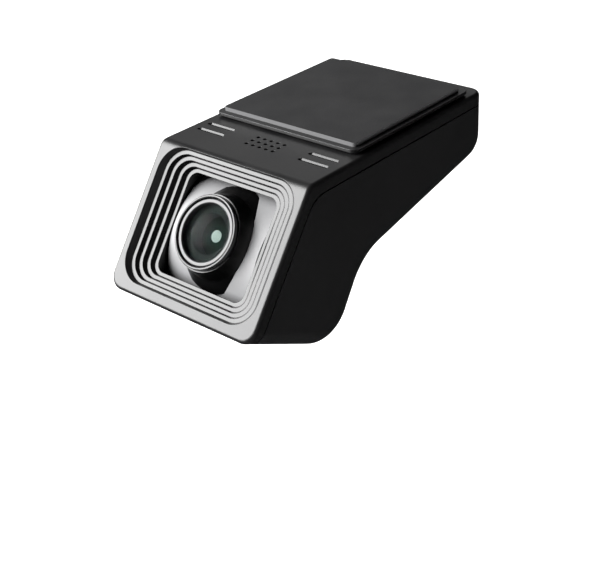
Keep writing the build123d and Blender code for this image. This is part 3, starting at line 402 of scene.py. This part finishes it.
finishOf = {
    "adhesive_pad": "foam", "mount_bracket": "bracket", "front_top_cover": "cover", "main_housing": "casing",
    "stepped_surround": "surround", "lens_drum": "drum", "lens_trim_ring": "ring", "lens_barrel": "barrel",
    "front_lens": "lensGlass", "middle_lens": "coatedLens", "rear_lens": "coatedLens", "drum_trim": "trim",
    "lens_spacer": "blackened", "lens_holder": "holder", "ir_filter": "filterGlass",
    "image_sensor": "sensor", "sensor_board": "board", "sensor_connector": "connector",
    "sensor_screws": "darkScrew", "flex_cable": "flex",
    "cable_connector": "connector", "main_board": "board", "processor": "chip", "memory_chip": "chip",
    "power_inductor": "chip", "wireless_can": "tin", "wifi_antenna": "flex", "backup_capacitors": "sleeve",
    "heat_spreader": "aluminium", "thermal_pad": "padGrey", "speaker": "speaker", "speaker_mesh": "weave",
    "microphone": "tin", "microphone_boot": "rubber", "card_socket": "tin", "memory_card": "card",
    "usb_socket": "brightSteel", "record_button": "button", "button_switch": "tin", "status_led": "connector",
    "light_pipe": "clearAcrylic", "housing_screws": "darkScrew", "pivot_screws": "darkScrew",
    "left_pivot_bracket": "brightSteel", "right_pivot_bracket": "brightSteel",
    "friction_washers": "brightSteel", "detent_leaf": "brightSteel",
}
for name, finish in finishOf.items():
    mesh = nodes[name].data
    for index in range(len(mesh.materials)):
        mesh.materials[index] = finishes[finish]
print("finishes given to", len(finishOf), "pieces")


# small parts that repeat

def closeTree(tree, given, result, shape):
    # every tree ends the same way: real faces with their finish on them
    real = addNode(tree, "GeometryNodeRealizeInstances", {"Geometry": shape})
    painted = addNode(tree, "GeometryNodeSetMaterial", {
        "Geometry": real.outputs["Geometry"], "Material": given.outputs["Finish"]})
    tree.links.new(painted.outputs["Geometry"], result.inputs["Geometry"])


def grow(name, seed, tree, sizes):
    # runs a tree once on the seed mesh and keeps the result as a plain piece
    maker = bpy.data.objects.new(name + "Seed", seed)
    bpy.context.scene.collection.objects.link(maker)
    modifier = maker.modifiers.new("shape", "NODES")
    modifier.node_group = tree
    for item in tree.interface.items_tree:
        if item.in_out == "INPUT" and item.name in sizes:
            modifier[item.identifier] = sizes[item.name]
    graph = bpy.context.evaluated_depsgraph_get()
    mesh = bpy.data.meshes.new_from_object(maker.evaluated_get(graph), depsgraph=graph)
    maker.modifiers.remove(modifier)
    bpy.data.objects.remove(maker)
    mesh.name = name
    piece = bpy.data.objects.new(name, mesh)
    bpy.context.scene.collection.objects.link(piece)
    return piece


def seedPoints(name, places, axes=None):
    mesh = bpy.data.meshes.new(name)
    mesh.from_pydata([tuple(p) for p in places], [], [])
    if axes:
        direction = mesh.attributes.new("axis", "FLOAT_VECTOR", "POINT")
        for index, axis in enumerate(axes):
            direction.data[index].vector = axis
    return mesh


def islands(node):
    # the separate solids of a node, each as its list of points
    mesh = nodes[node].data
    merged = {}
    names = []
    for vertex in mesh.vertices:
        key = tuple(round(c * 1e6) for c in vertex.co)
        names.append(merged.setdefault(key, len(merged)))
    parent = list(range(len(merged)))

    def root(i):
        while parent[i] != i:
            parent[i] = parent[parent[i]]
            i = parent[i]
        return i

    for face in mesh.polygons:
        first = root(names[face.vertices[0]])
        for v in face.vertices[1:]:
            parent[root(names[v])] = first
    found = {}
    for vertex, name in zip(mesh.vertices, names):
        found.setdefault(root(name), []).append(vertex.co.copy())
    return list(found.values())


def turnedShape(name, rings, sides, pitch=0.0, depth=0.0):
    # a closed turned shape about Z from (radius, height) pairs, with a thread where a ring asks for one
    points, faces = [], []
    for radius, height, threaded in rings:
        for i in range(sides):
            angle = 2 * math.pi * i / sides
            cut = 0.0
            if threaded:
                phase = (height / pitch + i / sides) % 1.0
                cut = depth * abs(2 * phase - 1)
            r = radius - cut
            points.append((r * math.cos(angle), r * math.sin(angle), height))
    for k in range(len(rings) - 1):
        for i in range(sides):
            j = (i + 1) % sides
            a, b = k * sides, (k + 1) * sides
            faces.append((a + i, a + j, b + j, b + i))
    faces.append(tuple(reversed(range(sides))))
    last = (len(rings) - 1) * sides
    faces.append(tuple(range(last, last + sides)))
    mesh = bpy.data.meshes.new(name)
    mesh.from_pydata(points, [], faces)
    return mesh


# screws: a threaded shank, a head with a broken edge and a sunk cross
screwLook = {"sides": 36, "threadLevels": 8, "threadDepth": 0.16, "crossArm": 0.64, "crossWidth": 0.2,
             "crossDepth": 0.55, "headSteps": 9}


def screwTemplate(name, shankRadius, shankLength, headRadius, headHeight, pitch):
    # shank along -Z from the head's seat at Z = 0, the head's top towards +Z
    look = screwLook
    levels = max(4, int(shankLength / pitch) * look["threadLevels"])
    tip = 0.25 * shankRadius
    rings = [(shankRadius * 0.45, -shankLength, False), (shankRadius * 0.8, -shankLength + tip, False)]
    for k in range(levels + 1):
        z = -shankLength + 1.5 * tip + (shankLength - 1.5 * tip - 0.15 * headHeight) * k / levels
        rings.append((shankRadius, z, True))
    rings += [
        (shankRadius * 0.86, 0, False), (headRadius * 0.92, 0, False),
        (headRadius, 0.08 * headHeight, False), (headRadius, 0.62 * headHeight, False),
        (headRadius * 0.95, 0.85 * headHeight, False)]
    sides = look["sides"]
    mesh = turnedShape(name, rings, sides, pitch, look["threadDepth"] * shankRadius)
    # the top face is a ring grid, pressed down inside the cross
    shape = bmesh.new()
    shape.from_mesh(mesh)
    shape.faces.ensure_lookup_table()
    top = max(shape.faces, key=lambda f: f.calc_center_median().z)
    previous = list(top.verts)
    shape.faces.remove(top)
    previous.sort(key=lambda v: math.atan2(v.co.y, v.co.x))
    steps = look["headSteps"]
    for k in range(1, steps + 1):
        r = headRadius * 0.95 * (1 - k / (steps + 0.6))
        level = headHeight * (0.85 + 0.15 * min(1.0, k / 2.5))
        ring = []
        for v in previous:
            angle = math.atan2(v.co.y, v.co.x)
            x, y = r * math.cos(angle), r * math.sin(angle)
            along, across = max(abs(x), abs(y)), min(abs(x), abs(y))
            arm = look["crossArm"] * headRadius
            drop = 0
            if along < arm and across < look["crossWidth"] * headRadius:
                drop = look["crossDepth"] * headHeight * (1 - 0.5 * along / arm)
            ring.append(shape.verts.new((x, y, level - drop)))
        for i in range(len(ring)):
            j = (i + 1) % len(ring)
            shape.faces.new((previous[i], previous[j], ring[j], ring[i]))
        previous = ring
    shape.faces.new(previous)
    bmesh.ops.recalc_face_normals(shape, faces=shape.faces)
    shape.to_mesh(mesh)
    shape.free()
    return bpy.data.objects.new(name, mesh)


def namedTree(name, sockets):
    tree = bpy.data.node_groups.new(name, "GeometryNodeTree")
    tree.interface.new_socket(name="Geometry", in_out="INPUT", socket_type="NodeSocketGeometry")
    for label, kind in sockets.items():
        tree.interface.new_socket(name=label, in_out="INPUT", socket_type="NodeSocket" + kind)
    tree.interface.new_socket(name="Geometry", in_out="OUTPUT", socket_type="NodeSocketGeometry")
    return tree, tree.nodes.new("NodeGroupInput"), tree.nodes.new("NodeGroupOutput")


def fastenerTree():
    # one screw at every seed point, its head towards the point's own axis
    tree, given, result = namedTree("fastenerSet", {"Screw": "Object", "Finish": "Material"})
    screw = addNode(tree, "GeometryNodeObjectInfo", {"Object": given.outputs["Screw"]})
    axis = addNode(tree, "GeometryNodeInputNamedAttribute", {"Name": "axis"}, data_type="FLOAT_VECTOR")
    turn = addNode(tree, "FunctionNodeAlignRotationToVector", {"Vector": axis.outputs["Attribute"]}, axis="Z")
    placed = addNode(tree, "GeometryNodeInstanceOnPoints", {
        "Points": given.outputs["Geometry"], "Instance": screw.outputs["Geometry"],
        "Rotation": turn.outputs["Rotation"]})
    closeTree(tree, given, result, placed.outputs["Instances"])
    return tree


def weaveTree():
    # wires laid side by side, each waving over and under the ones that cross it
    tree, given, result = namedTree("wireWeave", {
        "Width": "Float", "Length": "Float", "Pitch": "Float", "Wire Radius": "Float", "Finish": "Material"})

    def wires(run, across, turned):
        count = mathNode(tree, "FLOOR", mathNode(tree, "DIVIDE", across, given.outputs["Pitch"]))
        start = mathNode(tree, "MULTIPLY", mathNode(tree, "SUBTRACT", count, 1.0), -0.5)
        first = mathNode(tree, "MULTIPLY", start, given.outputs["Pitch"])
        axis = "Y" if not turned else "X"
        rows = addNode(tree, "GeometryNodeMeshLine", {
            "Count": count,
            "Start Location": addNode(tree, "ShaderNodeCombineXYZ", {axis: first}).outputs[0],
            "Offset": addNode(tree, "ShaderNodeCombineXYZ", {axis: given.outputs["Pitch"]}).outputs[0]})
        half = mathNode(tree, "MULTIPLY", run, 0.5)
        along = "X" if not turned else "Y"
        line = addNode(tree, "GeometryNodeCurvePrimitiveLine", {
            "Start": addNode(tree, "ShaderNodeCombineXYZ", {
                along: mathNode(tree, "MULTIPLY", half, -1.0)}).outputs[0],
            "End": addNode(tree, "ShaderNodeCombineXYZ", {along: half}).outputs[0]})
        fine = addNode(tree, "GeometryNodeResampleCurve", {
            "Curve": line.outputs["Curve"],
            "Length": mathNode(tree, "MULTIPLY", given.outputs["Pitch"], 0.5)}, mode="LENGTH")
        laid = addNode(tree, "GeometryNodeInstanceOnPoints", {
            "Points": rows.outputs["Mesh"], "Instance": fine.outputs["Curve"]})
        real = addNode(tree, "GeometryNodeRealizeInstances", {"Geometry": laid.outputs["Instances"]})
        place = addNode(tree, "ShaderNodeSeparateXYZ", {
            0: addNode(tree, "GeometryNodeInputPosition").outputs[0]})
        turns = mathNode(tree, "DIVIDE", mathNode(
            tree, "ADD", place.outputs["X"], place.outputs["Y"]), given.outputs["Pitch"])
        phase = math.pi / 2 if turned else -math.pi / 2
        wave = mathNode(tree, "SINE", mathNode(tree, "MULTIPLY_ADD", turns, math.pi, phase))
        lift = mathNode(tree, "MULTIPLY", wave, given.outputs["Wire Radius"])
        waved = addNode(tree, "GeometryNodeSetPosition", {
            "Geometry": real.outputs["Geometry"],
            "Offset": addNode(tree, "ShaderNodeCombineXYZ", {"Z": lift}).outputs[0]})
        section = addNode(tree, "GeometryNodeCurvePrimitiveCircle", {
            "Resolution": 5, "Radius": mathNode(tree, "MULTIPLY", given.outputs["Wire Radius"], 0.85)})
        return addNode(tree, "GeometryNodeCurveToMesh", {
            "Curve": waved.outputs["Geometry"], "Profile Curve": section.outputs["Curve"],
            "Fill Caps": True}).outputs["Mesh"]

    both = tree.nodes.new("GeometryNodeJoinGeometry")
    for mesh in (wires(given.outputs["Width"], given.outputs["Length"], False),
                 wires(given.outputs["Length"], given.outputs["Width"], True)):
        tree.links.new(mesh, both.inputs["Geometry"])
    closeTree(tree, given, result, both.outputs["Geometry"])
    return tree


def rowTree():
    # a rounded strip at every seed point
    tree, given, result = namedTree("stripRow", {"Strip": "Vector", "Bevel": "Float", "Finish": "Material"})
    strip = addNode(tree, "GeometryNodeMeshCube", {"Size": given.outputs["Strip"]})
    top = addNode(tree, "ShaderNodeSeparateXYZ", {0: addNode(tree, "GeometryNodeInputNormal").outputs[0]})
    worked = addNode(tree, "GeometryNodeExtrudeMesh", {
        "Mesh": strip.outputs["Mesh"], "Offset Scale": given.outputs["Bevel"], "Individual": False,
        "Selection": mathNode(tree, "GREATER_THAN", mathNode(tree, "ABSOLUTE", top.outputs["Z"]), 0.5)})
    shrunk = addNode(tree, "GeometryNodeScaleElements", {
        "Geometry": worked.outputs["Mesh"], "Selection": worked.outputs["Top"], "Scale": 0.8})
    placed = addNode(tree, "GeometryNodeInstanceOnPoints", {
        "Points": given.outputs["Geometry"], "Instance": shrunk.outputs["Geometry"]})
    closeTree(tree, given, result, placed.outputs["Instances"])
    return tree


screws = fastenerTree()
weave = weaveTree()
strips = rowTree()


def fastenerSet(name, size):
    # detailed screws where the plain ones are
    headHeight = size["headHeight"] * mm
    places, axes, length = [], [], 0.0
    for points in islands(size["node"]):
        axis = size["faces"](points).normalized()
        reach = [p.dot(axis) for p in points]
        wide = [p - axis * p.dot(axis) for p in points]
        centre = Vector([(min(w[i] for w in wide) + max(w[i] for w in wide)) / 2 for i in range(3)])
        places.append(centre + axis * (max(reach) - headHeight))
        axes.append(axis)
        length = max(reach) - min(reach) - headHeight
    template = screwTemplate(
        name + "Template", size["shank"] * mm, length, size["head"] * mm, headHeight, size["pitch"] * mm)
    bpy.context.scene.collection.objects.link(template)
    piece = grow(name, seedPoints(name + "Seed", places, axes), screws, {
        "Screw": template, "Finish": finishes["darkScrew"]})
    bpy.data.objects.remove(template)
    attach(piece, size["body"])
    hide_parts(size["node"])


# radii, head heights and pitches in mm; "faces" gives the way a head looks
screwSizes = {
    "housingScrewSet": {
        "node": "housing_screws", "body": "camera", "faces": lambda points: Vector((0, 0, -1)),
        "head": 1.7, "headHeight": 1.2, "shank": 0.85, "pitch": 0.55},
    "pivotScrewSet": {
        "node": "pivot_screws", "body": "camera",
        "faces": lambda points: Vector((-1 if points[0].x > 0 else 1, 0, 0)),
        "head": 1.3, "headHeight": 0.3, "shank": 0.65, "pitch": 0.4},
    "sensorScrewSet": {
        "node": "sensor_screws", "body": "lens_unit",
        "faces": lambda points: Vector((0, math.sin(lensAxis["turn"]), -math.cos(lensAxis["turn"]))),
        "head": 1.3, "headHeight": 0.7, "shank": 0.65, "pitch": 0.4},
}
for name, size in screwSizes.items():
    fastenerSet(name, size)
print("screws turned")


def meshCloth():
    low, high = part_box("speaker_mesh")
    look = {"pitch": 0.42 * mm, "wire": 0.055 * mm, "fill": 0.98}
    seed = seedPoints("meshClothSeed", [(0, 0, 0)])
    cloth = grow("speakerCloth", seed, weave, {
        "Width": (high.x - low.x) * look["fill"], "Length": (high.y - low.y) * look["fill"],
        "Pitch": look["pitch"], "Wire Radius": look["wire"], "Finish": finishes["weave"]})
    cloth.data.transform(Matrix.Translation((low + high) / 2))
    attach(cloth, "camera")
    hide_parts("speaker_mesh")


meshCloth()
print("speaker cloth woven")


def contactRow(name, node, body, count, spacing, strip, place):
    # a row of contact strips centred on a place of the node's box, given as fractions of it
    low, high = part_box(node)
    centre = Vector([low[i] + (high[i] - low[i]) * place[i] for i in range(3)])
    step = Vector(spacing) * mm
    points = [centre + step * (k - (count - 1) / 2) for k in range(count)]
    row = grow(name, seedPoints(name + "Seed", points), strips, {
        "Strip": tuple(v * mm for v in strip), "Bevel": 0.02 * mm, "Finish": finishes["goldContact"]})
    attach(row, body)


# contacts on both faces of the inlet's tongue, and on the card's underside near its inner end
inlet = {"count": 12, "pitch": 0.5, "strip": (0.26, 3.0, 0.02), "along": 0.616, "above": 0.119}
for side, name in ((1, "inletContactsUpper"), (-1, "inletContactsLower")):
    contactRow(name, "usb_socket", "camera", inlet["count"], (inlet["pitch"], 0, 0), inlet["strip"],
               (0.5, inlet["along"], 0.5 + side * inlet["above"]))

card = {"count": 8, "pitch": 1.1, "strip": (2.9, 0.8, 0.02), "along": 0.86, "below": -0.02}
contactRow("cardContacts", "memory_card", "card", card["count"], (0, card["pitch"], 0), card["strip"],
           (card["along"], 0.5, card["below"]))
print("contacts laid")
